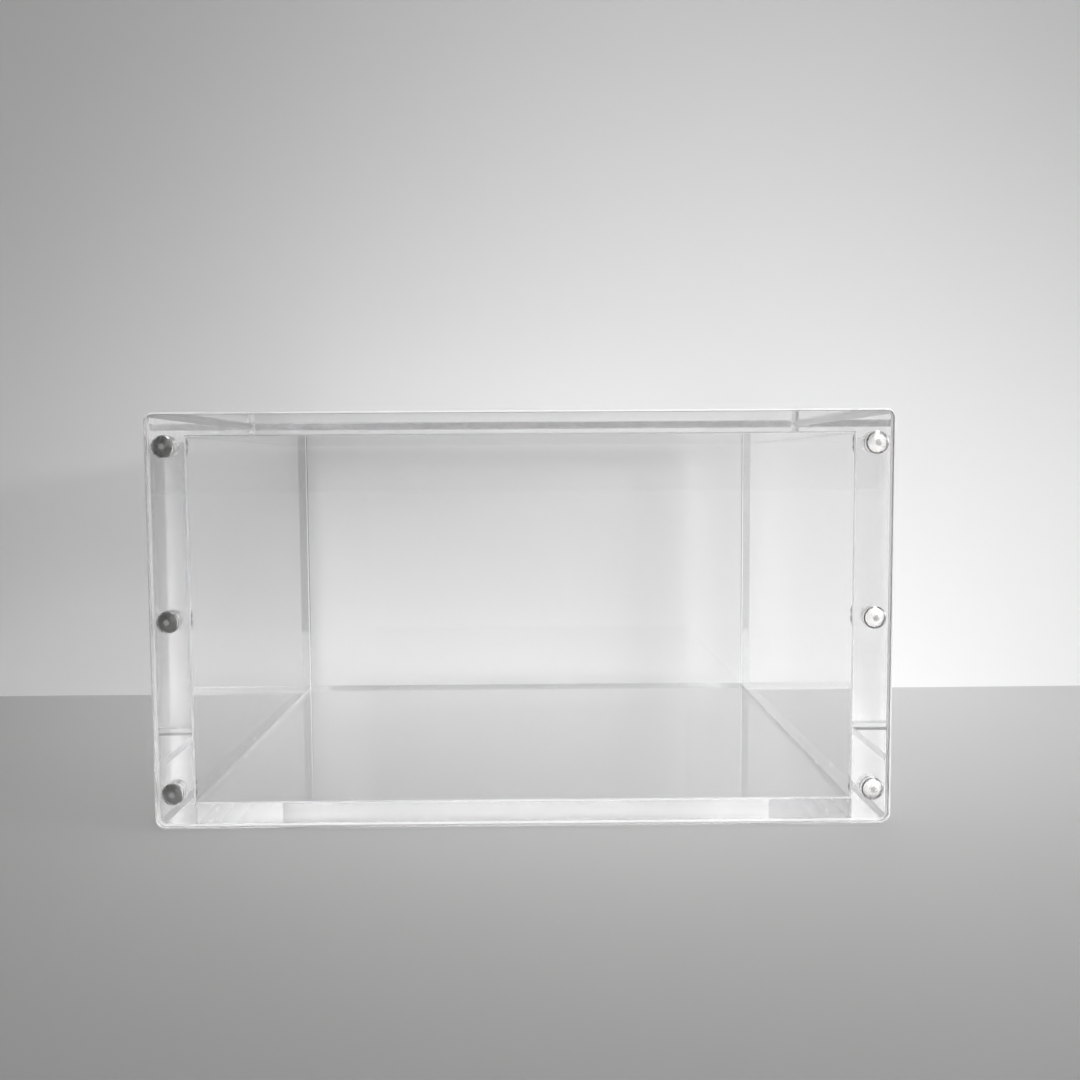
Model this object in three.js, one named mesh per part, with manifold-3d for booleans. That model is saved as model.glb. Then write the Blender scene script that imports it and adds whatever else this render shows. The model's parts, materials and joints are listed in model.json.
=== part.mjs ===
// A clear acrylic case for one sealed box of trading cards. Five sheets are welded into a box that is open
// at the front, and a flat lid closes it, held by pairs of disc magnets let into drilled pockets.
// Millimetres, +Z up. The front faces -Y, and the origin is the middle of the closed case's footprint.
import * as THREE from "three";
import { mergeVertices } from "three/addons/utils/BufferGeometryUtils.js";
import Module from "manifold-3d";

// Room inside, which takes the card box with a little play
const CAVITY_WIDTH = 142;
const CAVITY_HEIGHT = 79;
const CAVITY_DEPTH = 126;

// Sheet thicknesses: the sides are thick enough to be drilled for magnets
const SIDE_THICKNESS = 8;
const TOP_THICKNESS = 5;
const BOTTOM_THICKNESS = 5;
const BACK_THICKNESS = 5;
const LID_THICKNESS = 4;
const LID_AIR_GAP = 0.3;

// Trimmed edges: the lid has round corners, and every edge that a hand can touch has a polished chamfer
const LID_CORNER_RADIUS = 2;
const LID_CORNER_STEPS = 8;
const LID_CHAMFER = 0.4;
const BOX_CHAMFER = 1;
const MOUTH_CHAMFER = 0.3;

// Disc magnets and the drilled pockets that they are glued into
const MAGNET_DIAMETER = 4.76;
const WALL_MAGNET_LENGTH = 3.18;
const MAGNET_RIM_RADIUS = 0.25;
const MAGNET_PLAY = 0.05;
const MAGNET_RECESS = 0.1;
const MAGNET_SIDE_INSET = 3.5;
const MAGNET_END_INSET = 7.2;
const MAGNETS_PER_SIDE = ["bottom", "middle", "top"];
const DRILL_POINT_ANGLE = 118;
const LID_POCKET_SKIN = 0.85;
const ROUND_STEPS = 40;
const RIM_STEPS = 2;

// Allowance by which a sheet is cut too large before the welded box is trimmed to its outline
const TRIM_ALLOWANCE = 3;

const CASE_WIDTH = CAVITY_WIDTH + 2 * SIDE_THICKNESS;
const CASE_HEIGHT = BOTTOM_THICKNESS + CAVITY_HEIGHT + TOP_THICKNESS;
const CASE_DEPTH = CAVITY_DEPTH + BACK_THICKNESS;
const OVERALL_DEPTH = LID_THICKNESS + LID_AIR_GAP + CASE_DEPTH;
const BOX_FRONT_Y = OVERALL_DEPTH / 2 - CASE_DEPTH;

const POCKET_RADIUS = MAGNET_DIAMETER / 2 + MAGNET_PLAY;
const DRILL_POINT_HEIGHT = POCKET_RADIUS / Math.tan(THREE.MathUtils.degToRad(DRILL_POINT_ANGLE / 2));
const WALL_POCKET_DEPTH = MAGNET_RECESS + WALL_MAGNET_LENGTH;
const LID_POCKET_DEPTH = LID_THICKNESS - LID_POCKET_SKIN - DRILL_POINT_HEIGHT;
const LID_MAGNET_LENGTH = LID_POCKET_DEPTH - MAGNET_RECESS;

const ACRYLIC = new THREE.MeshStandardMaterial({
  color: 0xeef2f3,
  roughness: 0.05,
  metalness: 0,
  transparent: true,
  opacity: 0.3,
});
const NICKEL = new THREE.MeshStandardMaterial({ color: 0xb8babc, roughness: 0.2, metalness: 1 });

const wasm = await Module();
wasm.setup();

function toSolid(geometry) {
  const bare = geometry.clone();
  bare.deleteAttribute("normal");
  bare.deleteAttribute("uv");
  const merged = mergeVertices(bare);
  return new wasm.Manifold(
    new wasm.Mesh({
      numProp: 3,
      vertProperties: merged.attributes.position.array,
      triVerts: new Uint32Array(merged.index.array),
    }),
  );
}

function toGeometry(solid) {
  const { vertProperties, triVerts } = solid.getMesh();
  const geometry = new THREE.BufferGeometry();
  geometry.setAttribute("position", new THREE.BufferAttribute(vertProperties, 3));
  geometry.setIndex(new THREE.BufferAttribute(triVerts, 1));
  geometry.computeVertexNormals();
  return geometry;
}

function namedMesh(name, geometry, material) {
  const mesh = new THREE.Mesh(geometry, material);
  mesh.name = name;
  return mesh;
}

// The outline of the case seen from the front, standing on z = 0. One step makes a cut corner
function frontOutline(corner, steps) {
  const right = CASE_WIDTH / 2 - corner;
  const top = CASE_HEIGHT - corner;
  const corners = [
    [right, corner],
    [right, top],
    [-right, top],
    [-right, corner],
  ];
  const points = corners.flatMap(([x, z], quarter) =>
    Array.from({ length: steps + 1 }, (_, step) => {
      const angle = (quarter - 1 + step / steps) * (Math.PI / 2);
      return new THREE.Vector2(x + corner * Math.cos(angle), z + corner * Math.sin(angle));
    }),
  );
  return new THREE.Shape(points);
}

// An outline as a block from y = 0 towards +Y, with chamfered ends
function outlineBlock(outline, depth, chamfer) {
  const block = new THREE.ExtrudeGeometry(outline, {
    depth: depth - 2 * chamfer,
    bevelThickness: chamfer,
    bevelSize: chamfer,
    bevelOffset: -chamfer,
    bevelSegments: 1,
  });
  block.rotateX(Math.PI / 2);
  block.translate(0, depth - chamfer, 0);
  return block;
}

// What the chamfer round the cavity's mouth takes out: a block that narrows as it enters at y = 0
function mouthFlare() {
  const half = CAVITY_WIDTH / 2 - MOUTH_CHAMFER;
  const low = BOTTOM_THICKNESS + MOUTH_CHAMFER;
  const high = BOTTOM_THICKNESS + CAVITY_HEIGHT - MOUTH_CHAMFER;
  const mouth = new THREE.Shape([
    new THREE.Vector2(-half, low),
    new THREE.Vector2(half, low),
    new THREE.Vector2(half, high),
    new THREE.Vector2(-half, high),
  ]);
  const flare = new THREE.ExtrudeGeometry(mouth, {
    depth: TRIM_ALLOWANCE,
    bevelThickness: 2 * MOUTH_CHAMFER,
    bevelSize: 2 * MOUTH_CHAMFER,
    bevelSegments: 1,
  });
  return flare.rotateX(Math.PI / 2);
}

function sheet(x0, x1, y0, y1, z0, z1) {
  const blank = new THREE.BoxGeometry(x1 - x0, y1 - y0, z1 - z0);
  blank.translate((x0 + x1) / 2, (y0 + y1) / 2, (z0 + z1) / 2);
  return toSolid(blank);
}

// A turned solid about the Y axis, from points given as [radius, y]
function turned(points) {
  const profile = points.map(([radius, y]) => new THREE.Vector2(radius, y));
  return new THREE.LatheGeometry(profile, ROUND_STEPS);
}

// What a twist drill takes out: a bore of the given depth from y = 0, with the drill's point beyond it
function drilledPocket(depth) {
  return turned([
    [0, -TRIM_ALLOWANCE],
    [POCKET_RADIUS, -TRIM_ALLOWANCE],
    [POCKET_RADIUS, depth],
    [0, depth + DRILL_POINT_HEIGHT],
  ]);
}

// A plated disc magnet from y = 0 towards +Y, with rounded rims
function discMagnet(length) {
  const radius = MAGNET_DIAMETER / 2;
  const rim = (centre, from) =>
    Array.from({ length: RIM_STEPS + 1 }, (_, step) => {
      const angle = from + (step / RIM_STEPS) * (Math.PI / 2);
      return [
        radius - MAGNET_RIM_RADIUS + MAGNET_RIM_RADIUS * Math.cos(angle),
        centre + MAGNET_RIM_RADIUS * Math.sin(angle),
      ];
    });
  return turned([
    [0, 0],
    ...rim(MAGNET_RIM_RADIUS, -Math.PI / 2),
    ...rim(length - MAGNET_RIM_RADIUS, 0),
    [0, length],
  ]);
}

// Magnet places: a column down each side wall's front end
const MAGNET_COLUMN_X = CASE_WIDTH / 2 - MAGNET_SIDE_INSET;
const MAGNET_SPAN = CASE_HEIGHT - 2 * MAGNET_END_INSET;
const MAGNET_PLACES = ["left", "right"].flatMap((side) =>
  MAGNETS_PER_SIDE.map((level, i) => ({
    side,
    name: side + "_" + level,
    x: side === "left" ? -MAGNET_COLUMN_X : MAGNET_COLUMN_X,
    z: MAGNET_END_INSET + (i / (MAGNETS_PER_SIDE.length - 1)) * MAGNET_SPAN,
  })),
);

function drill(solid, places, pocket) {
  return places.reduce((left, { x, z }) => left.subtract(toSolid(pocket).translate(x, 0, z)), solid);
}

// The welded box, with its open front at y = 0
function weldedBox() {
  const box = new THREE.Group();
  const spare = TRIM_ALLOWANCE;
  const innerX = CAVITY_WIDTH / 2;
  const outerX = CASE_WIDTH / 2 + spare;
  const endY = CASE_DEPTH + spare;
  const floorZ = BOTTOM_THICKNESS;
  const ceilingZ = BOTTOM_THICKNESS + CAVITY_HEIGHT;
  const overZ = CASE_HEIGHT + spare;
  const outline = frontOutline(BOX_CHAMFER, 1);
  const trimming = toSolid(outlineBlock(outline, CASE_DEPTH + spare, BOX_CHAMFER).translate(0, -spare, 0));
  const mouth = toSolid(mouthFlare());
  const pocket = drilledPocket(WALL_POCKET_DEPTH);
  const drilledFor = (side) => MAGNET_PLACES.filter((place) => place.side === side);
  const sheets = {
    left_wall: drill(sheet(-outerX, -innerX, 0, endY, -spare, overZ), drilledFor("left"), pocket),
    right_wall: drill(sheet(innerX, outerX, 0, endY, -spare, overZ), drilledFor("right"), pocket),
    top_panel: sheet(-innerX, innerX, 0, endY, ceilingZ, overZ),
    bottom_panel: sheet(-innerX, innerX, 0, endY, -spare, floorZ),
    back_panel: sheet(-innerX, innerX, CAVITY_DEPTH, endY, floorZ, ceilingZ),
  };
  for (const [name, solid] of Object.entries(sheets)) {
    box.add(namedMesh(name, toGeometry(solid.intersect(trimming).subtract(mouth)), ACRYLIC));
  }
  for (const { name, x, z } of MAGNET_PLACES) {
    const magnet = namedMesh("wall_magnet_" + name, discMagnet(WALL_MAGNET_LENGTH), NICKEL);
    magnet.position.set(x, MAGNET_RECESS, z);
    box.add(magnet);
  }
  return box;
}

// The lid, with its inner face at y = 0 and its pockets drilled from there towards the front
function magneticLid() {
  const lid = new THREE.Group();
  const outline = frontOutline(LID_CORNER_RADIUS, LID_CORNER_STEPS);
  const plate = toSolid(outlineBlock(outline, LID_THICKNESS, LID_CHAMFER).translate(0, -LID_THICKNESS, 0));
  const pocket = drilledPocket(LID_POCKET_DEPTH).rotateX(Math.PI);
  lid.add(namedMesh("front_lid", toGeometry(drill(plate, MAGNET_PLACES, pocket)), ACRYLIC));
  for (const { name, x, z } of MAGNET_PLACES) {
    const magnet = namedMesh("lid_magnet_" + name, discMagnet(LID_MAGNET_LENGTH), NICKEL);
    magnet.position.set(x, -MAGNET_RECESS - LID_MAGNET_LENGTH, z);
    lid.add(magnet);
  }
  return lid;
}

const cardBoxCase = new THREE.Group();
const box = weldedBox();
box.position.y = BOX_FRONT_Y;
const lid = magneticLid();
lid.position.y = BOX_FRONT_Y - LID_AIR_GAP;
cardBoxCase.add(box, lid);

export default cardBoxCase;
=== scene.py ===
"""The looks of a clear acrylic trading card box case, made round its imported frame."""

import json
import math

import bmesh
import bpy
from mathutils import Matrix, Vector

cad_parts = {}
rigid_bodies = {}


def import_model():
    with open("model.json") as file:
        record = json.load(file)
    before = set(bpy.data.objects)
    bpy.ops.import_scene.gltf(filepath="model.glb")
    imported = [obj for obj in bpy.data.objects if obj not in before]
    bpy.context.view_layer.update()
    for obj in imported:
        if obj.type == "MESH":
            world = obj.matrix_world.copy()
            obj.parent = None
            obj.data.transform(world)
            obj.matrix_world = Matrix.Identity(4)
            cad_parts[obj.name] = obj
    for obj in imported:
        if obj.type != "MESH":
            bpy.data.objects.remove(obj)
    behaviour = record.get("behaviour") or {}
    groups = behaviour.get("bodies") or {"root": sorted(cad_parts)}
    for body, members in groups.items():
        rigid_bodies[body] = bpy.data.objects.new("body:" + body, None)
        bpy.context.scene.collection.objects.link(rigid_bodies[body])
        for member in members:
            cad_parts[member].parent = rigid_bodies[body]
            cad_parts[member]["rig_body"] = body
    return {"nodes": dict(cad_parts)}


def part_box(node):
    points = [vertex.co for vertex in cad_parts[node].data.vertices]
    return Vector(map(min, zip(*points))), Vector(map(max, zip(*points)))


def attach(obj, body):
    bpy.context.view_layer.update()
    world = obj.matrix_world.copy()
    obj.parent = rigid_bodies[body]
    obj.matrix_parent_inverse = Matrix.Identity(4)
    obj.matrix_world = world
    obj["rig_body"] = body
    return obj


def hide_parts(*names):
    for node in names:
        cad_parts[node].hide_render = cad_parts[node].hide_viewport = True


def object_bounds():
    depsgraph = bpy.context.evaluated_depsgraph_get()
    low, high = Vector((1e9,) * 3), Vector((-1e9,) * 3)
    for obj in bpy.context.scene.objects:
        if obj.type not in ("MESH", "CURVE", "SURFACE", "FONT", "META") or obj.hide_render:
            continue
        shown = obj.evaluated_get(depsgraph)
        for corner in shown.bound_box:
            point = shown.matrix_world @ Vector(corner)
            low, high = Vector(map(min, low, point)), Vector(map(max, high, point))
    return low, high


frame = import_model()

CAD_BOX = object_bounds()
MM = 0.001

# The clear sheets, each with the direction that its two large faces look in
LID = "front_lid"
SHEET_NORMALS = {
    "left_wall": Vector((1, 0, 0)),
    "right_wall": Vector((1, 0, 0)),
    "top_panel": Vector((0, 0, 1)),
    "bottom_panel": Vector((0, 0, 1)),
    "back_panel": Vector((0, 1, 0)),
    LID: Vector((0, 1, 0)),
}
DRILLED_SHEETS = ("left_wall", "right_wall", LID)
DRY_SHEET = "bottom_panel"
MAGNETS = [name for name in frame["nodes"] if "_magnet_" in name]

# The room inside, whose planes are where the sheets meet
CAVITY_LOW = Vector((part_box("left_wall")[1].x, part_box(LID)[1].y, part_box("bottom_panel")[1].z))
CAVITY_HIGH = Vector((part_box("right_wall")[0].x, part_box("back_panel")[0].y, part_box("top_panel")[0].z))

# Air in the joints beside the bottom sheet, and room for glue round a magnet
DRY_JOINT = 0.015 * MM
GLUE_ROOM = 0.1 * MM

# How exactly corners, planes and directions are compared
SAME_POINT = 0.001 * MM
ON_PLANE = 0.02 * MM
SQUARE_ON = 0.99
SLANTED = 0.1
FLAT_ANGLE = math.radians(0.5)
SHARP_ANGLE = math.radians(25)
ALONG_AXIS = 1 - 1e-5
PLAIN_CORNERS = 4

# Clear plastic. Glare is how much light a face loses, as a multiple of what it mirrors
WHITE = (1, 1, 1, 1)
ACRYLIC_IOR = 1.49
ACRYLIC_TINT = (0.993, 0.992, 0.995, 1)
GLARE = 2.0

# The share of the light that passes each kind of surface
FACE_SHARE = 1.0
CUT_SHARE = 0.4
DRILLED_SHARE = 0.7
WELD_SHARE = 0.3

# Grain: how far it is drawn out, and its fineness
EVEN = (1, 1, 1)
ALONG_DEPTH = (1, 0.3, 1)
ALONG_HEIGHT = (1, 1, 0.3)
GRAIN_DETAIL = 3.0

# Finishes of the plastic. A pair gives the least and the most
SMUDGE_SIZE = 14 * MM
SMUDGE_EDGE = (0.55, 0.75)
SMUDGE_ROUGHNESS = 0.02
STROKE_SIZE = 1.5 * MM
EDGE_ROUGHNESS = (0.02, 0.08)
SCRAPED_ROUGHNESS = 0.45
SCRAPED_CLEARNESS = 0.75
# Painted shade: the grey that the chamfers take on towards the foot of the case, and the heights over which
# it fades out
FOOT_SHADE_TINT = (0.78, 0.78, 0.79, 1)
FOOT_SHADE_HEIGHT = (0.5 * MM, 3 * MM)
BUFFED_ROUGHNESS = (0.08, 0.2)
BUFFED_CLEARNESS = 0.95
TRIM_ROUGHNESS = 0.03
TRIM_CLEARNESS = 0.5
BUBBLE_SIZE = 2 * MM
JOINT_ROUGHNESS = (0.15, 0.35)
JOINT_CLEARNESS = 0.5

# The drilled pockets: the drill's rings, and the grey spot under its point, which is partly torn plastic
# and partly a painted reflection of the cone's tip
POCKET_RADIUS = "pocket_radius"
DRILLED_ROUGHNESS = 0.15
RING_PITCH = 0.45 * MM
RING_DEPTH = 0.03 * MM
RING_STRENGTH = 0.15
RING_DULLNESS = 0.04
POINT_SPOT = (0.3 * MM, 1.0 * MM)
POINT_SPOT_STRENGTH = 0.75
# The grey of the spot under the drill's point is partly a painted reflection of the cone's tip
TORN_AND_TIP_REFLECTION_TINT = (0.45, 0.45, 0.45, 1)
TORN_ROUGHNESS = 0.5
TORN_CLEARNESS = 0.0

# Nickel plating, whose colour is darkened with painted shade so that the magnets facing the dim room read
# dark
NICKEL_TINT_WITH_PAINTED_SHADE = (0.33, 0.325, 0.32, 1)
NICKEL_ROUGHNESS = (0.22, 0.36)
NICKEL_WEAR_SIZE = 0.6 * MM

# Numbers of a Mix node's colour sockets
MIX_FACTOR, MIX_FROM, MIX_TO, MIX_RESULT = 0, 6, 7, 2

# Stage
FLOOR_DROP = 0.2 * MM
FLOOR_SIZE = 6.0
FLOOR_TINT = (0.49, 0.49, 0.49, 1)
FLOOR_ROUGHNESS = 0.6
FLOOR_GLOSS = 0.2
WALL_GAP = 7.5 * MM
WALL_SIZE = 3.0
WALL_TURN = math.radians(0.6)
WALL_TINT = (0.8, 0.8, 0.8, 1)
WALL_ROUGHNESS = 0.5

# Light from all round. Each bright patch has a level and a place in degrees: turned to the right of the
# front, raised, and how far its rim and its even middle reach
ROOM_LEVEL = 0.06
BACKDROP_LEVEL = 0.5
ROOM_PATCHES = [
    (3.2, {"turn": 24, "rise": 21, "rim": 20, "middle": 7}),
    (0.87, {"turn": 75, "rise": 14, "rim": 46, "middle": 18}),
    (0.15, {"turn": -75, "rise": 10, "rim": 45, "middle": 20}),
]

# Turns of a path besides its passes through plastic: up to the first it shows the backdrop, from the second
# it counts as mirrored
MIRRORED_TURNS = (1, 2)

# Lamps, in metres, radians and watts
SIDE_LAMP = {
    "place": Vector((1.2, -0.28, 0.29)),
    "target": Vector((0.175, 0.0752, 0.0235)),
    "half_angle": 0.158,
    "radius": 0.1,
    "power": 48.6,
    "shadows": True,
}
OVERHEAD_LAMP = {
    "place": Vector((0.3, -0.70, 1.0955)),
    "target": Vector((0.03, 0.039, 0.0)),
    "half_angle": 0.19,
    "radius": 0.12,
    "power": 58.1,
    "shadows": False,
}
MAGNET_LAMP = {"place": Vector((0.27, -0.56, -0.03)), "radius": 0.25, "power": 9.0}

# How often light may turn on its way through the plastic
ALL_BOUNCES = 40
GLOSSY_BOUNCES = 24
STRAIGHT_PASSES = 64

# Camera, fitted to the edges of the case in the photograph
CAMERA_PLACE = Vector((2.3565, -298.9988, 77.55)) * MM
CAMERA_PITCH = -0.0684
CAMERA_YAW = -0.0068
CAMERA_ROLL = 0.0063
CAMERA_NEAR = 10 * MM
FOCAL_PIXELS = 1099.03
IMAGE_PIXELS = 1080
SENSOR_MM = 36.0


class Wire:
    """A socket's value in a node tree, so that shader maths is written as Python sums."""

    def __init__(self, shader, socket):
        self.shader = shader
        self.socket = socket

    def _math(self, operation, *values):
        sockets = dict(enumerate(values))
        return self.shader.node("ShaderNodeMath", {"operation": operation}, sockets).out()

    def __add__(self, other):
        return self._math("ADD", self, other)

    __radd__ = __add__

    def __mul__(self, other):
        return self._math("MULTIPLY", self, other)

    __rmul__ = __mul__

    def __sub__(self, other):
        return self._math("SUBTRACT", self, other)

    def __rsub__(self, other):
        return self._math("SUBTRACT", other, self)

    def larger(self, other):
        return self._math("MAXIMUM", self, other)

    def sine(self):
        return self._math("SINE", self)

    def between(self, low, high):
        """From low at 0 to high at 1."""
        return low + (high - low) * self

    def ramped(self, low, high):
        """Smoothly from 0 at low to 1 at high."""
        settings = {"interpolation_type": "SMOOTHSTEP"}
        sockets = {"Value": self, "From Min": low, "From Max": high}
        return self.shader.node("ShaderNodeMapRange", settings, sockets).out()


class Made:
    """A node that has been added, with its outputs as wires."""

    def __init__(self, shader, node):
        self.shader = shader
        self.node = node

    def out(self, name=0):
        return Wire(self.shader, self.node.outputs[name])


class Shader:
    """A node tree under construction."""

    def __init__(self, tree):
        self.tree = tree
        tree.nodes.clear()

    def node(self, kind, settings=None, sockets=None):
        """Adds any node: its settings are set first, then its sockets get values or links."""
        node = self.tree.nodes.new(kind)
        for name, value in (settings or {}).items():
            setattr(node, name, value)
        for name, value in (sockets or {}).items():
            if isinstance(value, Made):
                value = value.out()
            if isinstance(value, Wire):
                self.tree.links.new(value.socket, node.inputs[name])
            else:
                node.inputs[name].default_value = value
        return Made(self, node)


def new_material(name):
    material = bpy.data.materials.new(name)
    material.use_nodes = True
    return material, Shader(material.node_tree)


def lit_through(shader, surface, share):
    """Lets lamp and bounced light through clear plastic unbent, less what each face mirrors away."""
    path = shader.node("ShaderNodeLightPath")
    straight = path.out("Is Shadow Ray").larger(path.out("Is Diffuse Ray"))
    inside = shader.node("ShaderNodeNewGeometry").out("Backfacing")
    bend = inside.between(ACRYLIC_IOR, 1 / ACRYLIC_IOR)
    mirrored = GLARE * shader.node("ShaderNodeFresnel", sockets={"IOR": bend}).out()
    clear = shader.node("ShaderNodeBsdfTransparent", sockets={"Color": (share, share, share, 1)})
    mirror = shader.node("ShaderNodeBsdfAnisotropic", sockets={"Color": WHITE, "Roughness": 0.0})
    passing = shader.node("ShaderNodeMixShader", sockets={0: mirrored, 1: clear, 2: mirror})
    mixed = shader.node("ShaderNodeMixShader", sockets={0: straight, 1: surface, 2: passing})
    shader.node("ShaderNodeOutputMaterial", sockets={"Surface": mixed})


def acrylic(shader, roughness, clearness=1.0, sockets=None):
    """Clear cast acrylic with a given finish. A lower clearness makes it milky."""
    return shader.node("ShaderNodeBsdfPrincipled", sockets={
        "Base Color": ACRYLIC_TINT,
        "Roughness": roughness,
        "IOR": ACRYLIC_IOR,
        "Transmission Weight": clearness,
        **(sockets or {}),
    })


def grain(shader, stretch, size):
    """Fine noise from 0 to 1 in the object's own space, longest along the axis with the least stretch."""
    place = shader.node("ShaderNodeTexCoord").out("Object")
    stretched = shader.node("ShaderNodeVectorMath", {"operation": "MULTIPLY"}, {0: place, 1: stretch})
    sockets = {"Vector": stretched, "Scale": 1 / size, "Detail": GRAIN_DETAIL}
    return shader.node("ShaderNodeTexNoise", sockets=sockets).out()


def clear_face():
    """A sheet's glossy face, with faint smudges from handling."""
    material, shader = new_material("acrylic_face")
    smudges = grain(shader, EVEN, SMUDGE_SIZE).ramped(*SMUDGE_EDGE)
    lit_through(shader, acrylic(shader, SMUDGE_ROUGHNESS * smudges), FACE_SHARE)
    return material


def clear_edge():
    """A sawn and flame polished edge, whose gloss varies in short strokes."""
    material, shader = new_material("acrylic_edge")
    strokes = grain(shader, ALONG_HEIGHT, STROKE_SIZE)
    lit_through(shader, acrylic(shader, strokes.between(*EDGE_ROUGHNESS)), CUT_SHARE)
    return material


def scraped_chamfer():
    """A box sheet's chamfer, left as the scraper cut it, and greyed with painted shade along the foot of
    the case.
    """
    material, shader = new_material("acrylic_chamfer")
    place = shader.node("ShaderNodeTexCoord").out("Object")
    height = shader.node("ShaderNodeSeparateXYZ", sockets={0: place}).out("Z")
    # Painted shade greys the chamfer towards the foot of the case
    tints = {MIX_FACTOR: height.ramped(*FOOT_SHADE_HEIGHT), MIX_FROM: FOOT_SHADE_TINT, MIX_TO: ACRYLIC_TINT}
    tint = shader.node("ShaderNodeMix", {"data_type": "RGBA"}, tints).out(MIX_RESULT)
    scraped = acrylic(shader, SCRAPED_ROUGHNESS, SCRAPED_CLEARNESS, {"Base Color": tint})
    lit_through(shader, scraped, CUT_SHARE)
    return material


def buffed_chamfer():
    """A chamfer along the top or foot of the back, buffed after it was scraped."""
    material, shader = new_material("acrylic_buffed")
    strokes = grain(shader, EVEN, STROKE_SIZE)
    buffed = acrylic(shader, strokes.between(*BUFFED_ROUGHNESS), BUFFED_CLEARNESS)
    lit_through(shader, buffed, CUT_SHARE)
    return material


def sanded_trim():
    """The lid's fine chamfer, sanded to a soft white line."""
    material, shader = new_material("acrylic_trim")
    lit_through(shader, acrylic(shader, TRIM_ROUGHNESS, TRIM_CLEARNESS), CUT_SHARE)
    return material


def drilled_wall():
    """A pocket's wall, with the rings that the drill leaves in it and the grey spot under its point: partly
    torn plastic, partly a painted reflection of the cone's tip.
    """
    material, shader = new_material("acrylic_drilled")
    radius = shader.node("ShaderNodeAttribute", {"attribute_name": POCKET_RADIUS}).out("Fac")
    rings = (radius * (2 * math.pi / RING_PITCH)).sine()
    relief = {"Height": rings, "Strength": RING_STRENGTH, "Distance": RING_DEPTH}
    bump = shader.node("ShaderNodeBump", sockets=relief)
    # The spot under the drill's point mixes in grey that is partly a painted reflection of the cone's tip
    dull_and_tip_reflection = POINT_SPOT_STRENGTH * (1 - radius.ramped(*POINT_SPOT)) + RING_DULLNESS * (1 + rings)
    cut = acrylic(shader, DRILLED_ROUGHNESS, sockets={"Normal": bump})
    torn_and_tip_reflection = acrylic(shader, TORN_ROUGHNESS, TORN_CLEARNESS, {"Base Color": TORN_AND_TIP_REFLECTION_TINT})
    drilled = shader.node("ShaderNodeMixShader", sockets={0: dull_and_tip_reflection, 1: cut, 2: torn_and_tip_reflection})
    lit_through(shader, drilled, DRILLED_SHARE)
    return material


def weld():
    """A solvent weld, where two sheets have become one piece of plastic."""
    material, shader = new_material("acrylic_weld")
    joined = shader.node("ShaderNodeBsdfTransparent", sockets={"Color": WHITE})
    lit_through(shader, joined, WELD_SHARE)
    return material


def dry_joint():
    """A joint that took little glue, whitened by the air in it."""
    material, shader = new_material("acrylic_joint")
    bubbles = grain(shader, ALONG_DEPTH, BUBBLE_SIZE)
    whitened = acrylic(shader, bubbles.between(*JOINT_ROUGHNESS), JOINT_CLEARNESS)
    lit_through(shader, whitened, CUT_SHARE)
    return material


def nickel_plate():
    """Bright plating with fine handling marks, so that its gloss varies a little. Its colour is darkened
    below real nickel's with painted shade.
    """
    material, shader = new_material("nickel_plate")
    wear = grain(shader, EVEN, NICKEL_WEAR_SIZE)
    metal = shader.node("ShaderNodeBsdfPrincipled", sockets={
        # The base colour is darkened with painted shade
        "Base Color": NICKEL_TINT_WITH_PAINTED_SHADE,
        "Roughness": wear.between(*NICKEL_ROUGHNESS),
        "Metallic": 1.0,
    })
    shader.node("ShaderNodeOutputMaterial", sockets={"Surface": metal})
    return material


def floor_paint():
    material, shader = new_material("floor_paint")
    paint = shader.node("ShaderNodeBsdfPrincipled", sockets={
        "Base Color": FLOOR_TINT,
        "Roughness": FLOOR_ROUGHNESS,
        "Specular IOR Level": FLOOR_GLOSS,
    })
    shader.node("ShaderNodeOutputMaterial", sockets={"Surface": paint})
    return material


def wall_paint():
    """Paint that is seen from its front only, so that the case can be looked at from behind."""
    material, shader = new_material("wall_paint")
    finish = {"Base Color": WALL_TINT, "Roughness": WALL_ROUGHNESS}
    paint = shader.node("ShaderNodeBsdfPrincipled", sockets=finish)
    behind = shader.node("ShaderNodeNewGeometry").out("Backfacing")
    nothing = shader.node("ShaderNodeBsdfTransparent")
    mixed = shader.node("ShaderNodeMixShader", sockets={0: behind, 1: paint, 2: nothing})
    shader.node("ShaderNodeOutputMaterial", sockets={"Surface": mixed})
    return material


# The finishes of a clear sheet, in the order of its material slots
FACE, EDGE, CHAMFER, BUFFED, TRIM, DRILLED, WELD, JOINT = range(8)
CLEAR_MATERIALS = [
    clear_face(),
    clear_edge(),
    scraped_chamfer(),
    buffed_chamfer(),
    sanded_trim(),
    drilled_wall(),
    weld(),
    dry_joint(),
]


def cleaned(node):
    """A node's mesh with its split corners joined and its flat faces whole."""
    made = bmesh.new()
    made.from_mesh(frame["nodes"][node].data)
    bmesh.ops.remove_doubles(made, verts=made.verts, dist=SAME_POINT)
    bmesh.ops.dissolve_limit(made, angle_limit=FLAT_ANGLE, verts=made.verts, edges=made.edges)
    return made


def lies_on(face, axis, place):
    """True if a face lies in the plane that crosses the axis at place."""
    return all(abs(v.co[axis] - place) < ON_PLANE for v in face.verts)


def welded(face):
    """True if a face is joined to a neighbour. The bottom sheet's ends are joined only at the back."""
    middle = face.calc_center_median()
    between_walls = CAVITY_LOW.x < middle.x < CAVITY_HIGH.x
    behind = middle.y > CAVITY_HIGH.y
    beside_top = middle.z > CAVITY_HIGH.z
    on_wall = lies_on(face, 0, CAVITY_LOW.x) or lies_on(face, 0, CAVITY_HIGH.x)
    on_cap = lies_on(face, 2, CAVITY_LOW.z) or lies_on(face, 2, CAVITY_HIGH.z)
    return (on_wall and (behind or beside_top)) or (on_cap and behind and between_walls)


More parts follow.
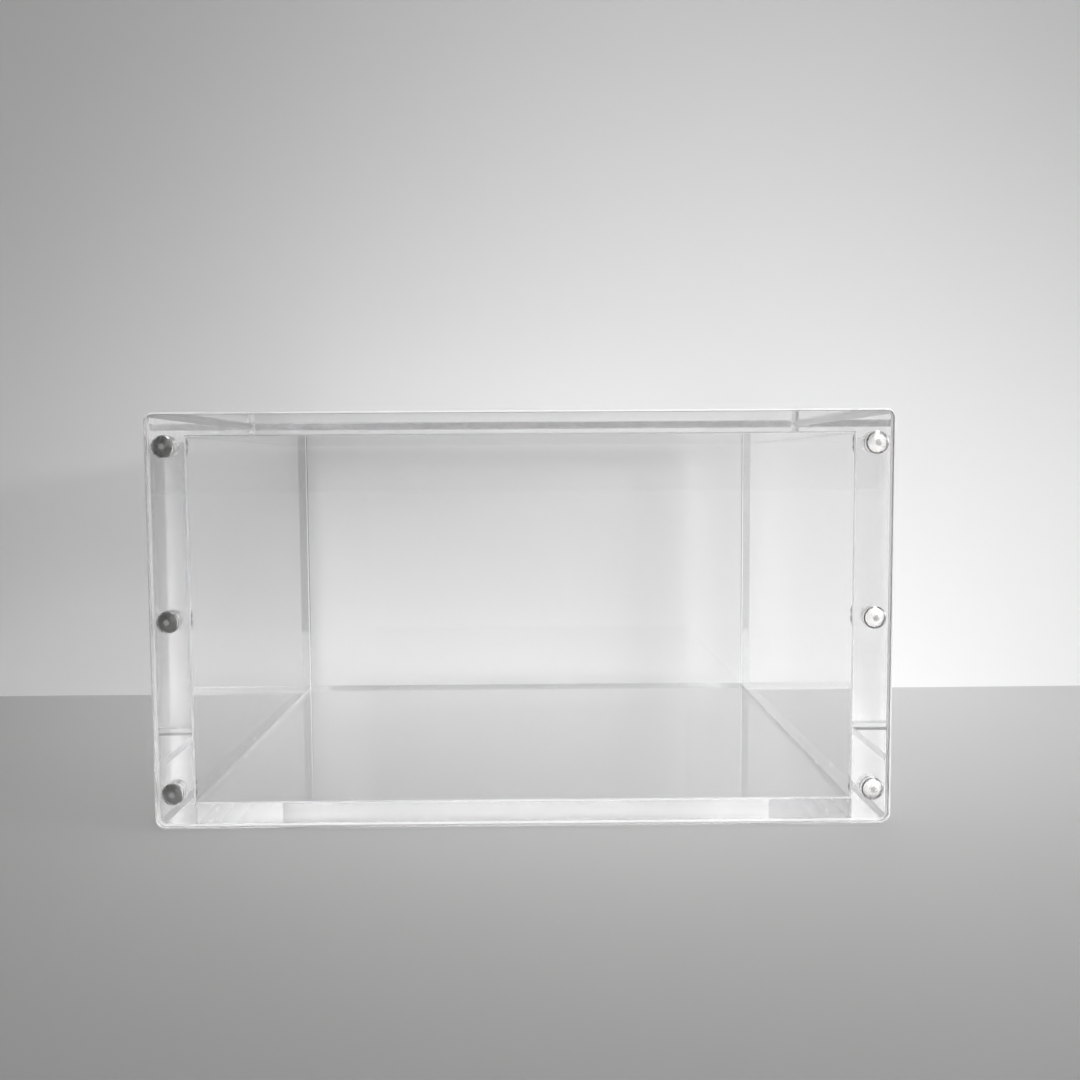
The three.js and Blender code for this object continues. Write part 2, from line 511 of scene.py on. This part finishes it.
def split_at_welds(made):
    """Cuts the sheets' inner faces along the lines where a neighbour's weld begins."""
    cuts = [(2, CAVITY_LOW.z), (2, CAVITY_HIGH.z), (1, CAVITY_HIGH.y)]
    inner = [(0, CAVITY_LOW.x), (0, CAVITY_HIGH.x), (2, CAVITY_LOW.z), (2, CAVITY_HIGH.z)]
    for cut_axis, cut_place in cuts:
        faces = [f for f in made.faces if any(lies_on(f, axis, place) for axis, place in inner)]
        edges = {e for f in faces for e in f.edges}
        verts = {v for f in faces for v in f.verts}
        normal = Vector((0, 0, 0))
        normal[cut_axis] = 1
        point = normal * cut_place
        geometry = [*faces, *edges, *verts]
        bmesh.ops.bisect_plane(made, geom=geometry, dist=SAME_POINT, plane_co=point, plane_no=normal)


def part_from_walls(made):
    """Leaves a hair of air between a sheet's ends and the side walls."""
    for vert in made.verts:
        if abs(vert.co.x) > CAVITY_HIGH.x - ON_PLANE:
            vert.co.x -= math.copysign(DRY_JOINT, vert.co.x)


def pocket_axes(kind):
    """The middle and radius of each magnet of one kind, seen from the front, with room for its glue."""
    axes = []
    for name in MAGNETS:
        if name.startswith(kind):
            low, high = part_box(name)
            middle = (low + high) / 2
            axes.append((middle.x, middle.z, high.x - middle.x + GLUE_ROOM))
    return axes


def in_pocket(face, axes, ends):
    """True if a face is part of a drilled pocket, and not of the sheet's front or back round it."""
    middle = face.calc_center_median()
    if any(abs(middle.y - end) < ON_PLANE for end in ends):
        return False
    return any(math.hypot(middle.x - x, middle.z - z) < radius for x, z, radius in axes)


def is_chamfer(face, node):
    """True if a face is slanted. On the lid its round corners aren't, as they lie square to its front."""
    slant = abs(face.normal.y) if node == LID else max(map(abs, face.normal))
    return SLANTED < slant < SQUARE_ON


def chamfer_finish(face, node):
    if node == LID:
        return TRIM
    along_back = face.normal.y > SLANTED and abs(face.normal.z) > SLANTED
    return BUFFED if along_back else CHAMFER


def sheet_finish(face, node, axes, ends):
    """Which of the clear finishes a face of a sheet has."""
    if node != LID and welded(face):
        return WELD
    if node == DRY_SHEET and abs(face.normal.x) > SQUARE_ON:
        return JOINT
    if node in DRILLED_SHEETS and in_pocket(face, axes, ends):
        return DRILLED
    if abs(face.normal.dot(SHEET_NORMALS[node])) > SQUARE_ON:
        return FACE
    if is_chamfer(face, node):
        return chamfer_finish(face, node)
    return EDGE


def mark_radius(made, axes):
    """Stores how far each corner lies from the nearest pocket's axis, for the drill's rings."""
    layer = made.verts.layers.float.new(POCKET_RADIUS)
    for vert in made.verts:
        vert[layer] = min(math.hypot(vert.co.x - x, vert.co.z - z) for x, z, _ in axes)


def is_large_flat(face):
    return max(map(abs, face.normal)) > ALONG_AXIS and len(face.verts) > PLAIN_CORNERS


def shade_smooth(made):
    """Smooth shading over round stretches, with corners and flat faces left crisp."""
    for face in made.faces:
        face.smooth = True
    for edge in made.edges:
        turn = edge.calc_face_angle(0.0)
        edge.smooth = turn < SHARP_ANGLE and not any(map(is_large_flat, edge.link_faces))


def as_piece(made, name, materials, node):
    mesh = bpy.data.meshes.new(name)
    made.to_mesh(mesh)
    made.free()
    for material in materials:
        mesh.materials.append(material)
    piece = bpy.data.objects.new(name, mesh)
    bpy.context.scene.collection.objects.link(piece)
    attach(piece, frame["nodes"][node]["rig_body"])
    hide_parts(node)
    return piece


def clear_sheet(node):
    made = cleaned(node)
    if node == DRY_SHEET:
        part_from_walls(made)
    if node != LID:
        split_at_welds(made)
    made.normal_update()
    axes = pocket_axes("lid" if node == LID else "wall")
    ends = [corner.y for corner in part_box(node)]
    for face in made.faces:
        face.material_index = sheet_finish(face, node, axes, ends)
    if node in DRILLED_SHEETS:
        mark_radius(made, axes)
    shade_smooth(made)
    return as_piece(made, "clear_" + node, CLEAR_MATERIALS, node)


def plated_magnet(node, metal):
    made = cleaned(node)
    made.normal_update()
    shade_smooth(made)
    return as_piece(made, "plated_" + node, [metal], node)


def flat_stage(name, corners, material):
    mesh = bpy.data.meshes.new(name)
    mesh.from_pydata(corners, [], [range(len(corners))])
    mesh.materials.append(material)
    stage = bpy.data.objects.new(name, mesh)
    bpy.context.scene.collection.objects.link(stage)
    return stage


def build_stage():
    half = FLOOR_SIZE / 2
    floor_corners = [(-half, -half, 0), (half, -half, 0), (half, half, 0), (-half, half, 0)]
    floor = flat_stage("floor", floor_corners, floor_paint())
    floor.location.z = -FLOOR_DROP
    half = WALL_SIZE / 2
    wall_corners = [(-half, 0, 0), (half, 0, 0), (half, 0, WALL_SIZE), (-half, 0, WALL_SIZE)]
    wall = flat_stage("wall", wall_corners, wall_paint())
    wall.location = (0, CAD_BOX[1].y + WALL_GAP, -FLOOR_DROP)
    wall.rotation_euler.z = WALL_TURN


def bright_patch(shader, toward, turn, rise, rim, middle):
    """A round patch of the room as a mask: 1 within the middle's radius, fading to 0 at the rim's."""
    turn, rise, rim, middle = map(math.radians, (turn, rise, rim, middle))
    aim = (math.sin(turn) * math.cos(rise), -math.cos(turn) * math.cos(rise), math.sin(rise))
    pair = {0: toward, 1: aim}
    along = shader.node("ShaderNodeVectorMath", {"operation": "DOT_PRODUCT"}, pair).out("Value")
    return along.ramped(math.cos(rim), math.cos(middle))


def build_room():
    """Soft light from bright patches of a dim room, which is seen directly as a plain backdrop."""
    world = bpy.data.worlds.new("room")
    bpy.context.scene.world = world
    world.use_nodes = True
    shader = Shader(world.node_tree)
    toward = shader.node("ShaderNodeTexCoord").out("Generated")
    level = ROOM_LEVEL
    for patch_level, place in ROOM_PATCHES:
        level = level + patch_level * bright_patch(shader, toward, **place)
    path = shader.node("ShaderNodeLightPath")
    reflected = (path.out("Ray Depth") - path.out("Transmission Depth")).ramped(*MIRRORED_TURNS)
    through = path.out("Is Transmission Ray") * (1 - reflected)
    direct = path.out("Is Camera Ray").larger(through)
    seen = level + direct * (BACKDROP_LEVEL - level)
    glow = shader.node("ShaderNodeBackground", sockets={"Color": WHITE, "Strength": seen})
    shader.node("ShaderNodeOutputWorld", sockets={"Surface": glow})


def add_lamp(name, kind, place, radius, power, shadows):
    """A soft lamp that lights the scene but is never seen itself."""
    lamp = bpy.data.lights.new(name, kind)
    lamp.energy = power
    lamp.shadow_soft_size = radius
    lamp.use_shadow = shadows
    lamp.cycles.use_multiple_importance_sampling = False
    light = bpy.data.objects.new(name, lamp)
    light.location = place
    bpy.context.scene.collection.objects.link(light)
    return light


def spot_light(name, place, target, half_angle, radius, power, shadows):
    """A lamp whose beam fades evenly from its middle to its rim. It throws no glint."""
    light = add_lamp(name, "SPOT", place, radius, power, shadows)
    light.data.spot_size = 2 * half_angle
    light.data.spot_blend = 1.0
    light.visible_glossy = False
    light.rotation_euler = (target - place).to_track_quat("-Z", "Y").to_euler()


def glint_light(name, place, radius, power, lit_pieces):
    """A round lamp that lights some pieces only."""
    light = add_lamp(name, "POINT", place, radius, power, False)
    receivers = bpy.data.collections.new(name + "_receivers")
    for piece in lit_pieces:
        receivers.objects.link(piece)
    light.light_linking.receiver_collection = receivers


def build_lamps(magnets):
    spot_light("side_lamp", **SIDE_LAMP)
    spot_light("overhead_lamp", **OVERHEAD_LAMP)
    glint_light("magnet_lamp", lit_pieces=magnets, **MAGNET_LAMP)


def build_camera():
    data = bpy.data.cameras.new("camera")
    data.sensor_width = SENSOR_MM
    data.lens = SENSOR_MM * FOCAL_PIXELS / IMAGE_PIXELS
    data.clip_start = CAMERA_NEAR
    camera = bpy.data.objects.new("camera", data)
    turn = (
        Matrix.Rotation(CAMERA_YAW, 4, "Z")
        @ Matrix.Rotation(CAMERA_PITCH, 4, "X")
        @ Matrix.Rotation(CAMERA_ROLL, 4, "Y")
        @ Matrix.Rotation(math.pi / 2, 4, "X")
    )
    camera.matrix_world = Matrix.Translation(CAMERA_PLACE) @ turn
    bpy.context.scene.collection.objects.link(camera)
    bpy.context.scene.camera = camera


def set_light_paths():
    """Lets light turn often enough inside the plastic, and shows it without a film look."""
    scene = bpy.context.scene
    scene.cycles.max_bounces = ALL_BOUNCES
    scene.cycles.transmission_bounces = ALL_BOUNCES
    scene.cycles.glossy_bounces = GLOSSY_BOUNCES
    scene.cycles.transparent_max_bounces = STRAIGHT_PASSES
    scene.view_settings.view_transform = "Standard"


build_camera()
for sheet_node in SHEET_NORMALS:
    clear_sheet(sheet_node)
nickel = nickel_plate()
magnet_pieces = [plated_magnet(magnet_node, nickel) for magnet_node in MAGNETS]
build_stage()
build_room()
build_lamps(magnet_pieces)
set_light_paths()
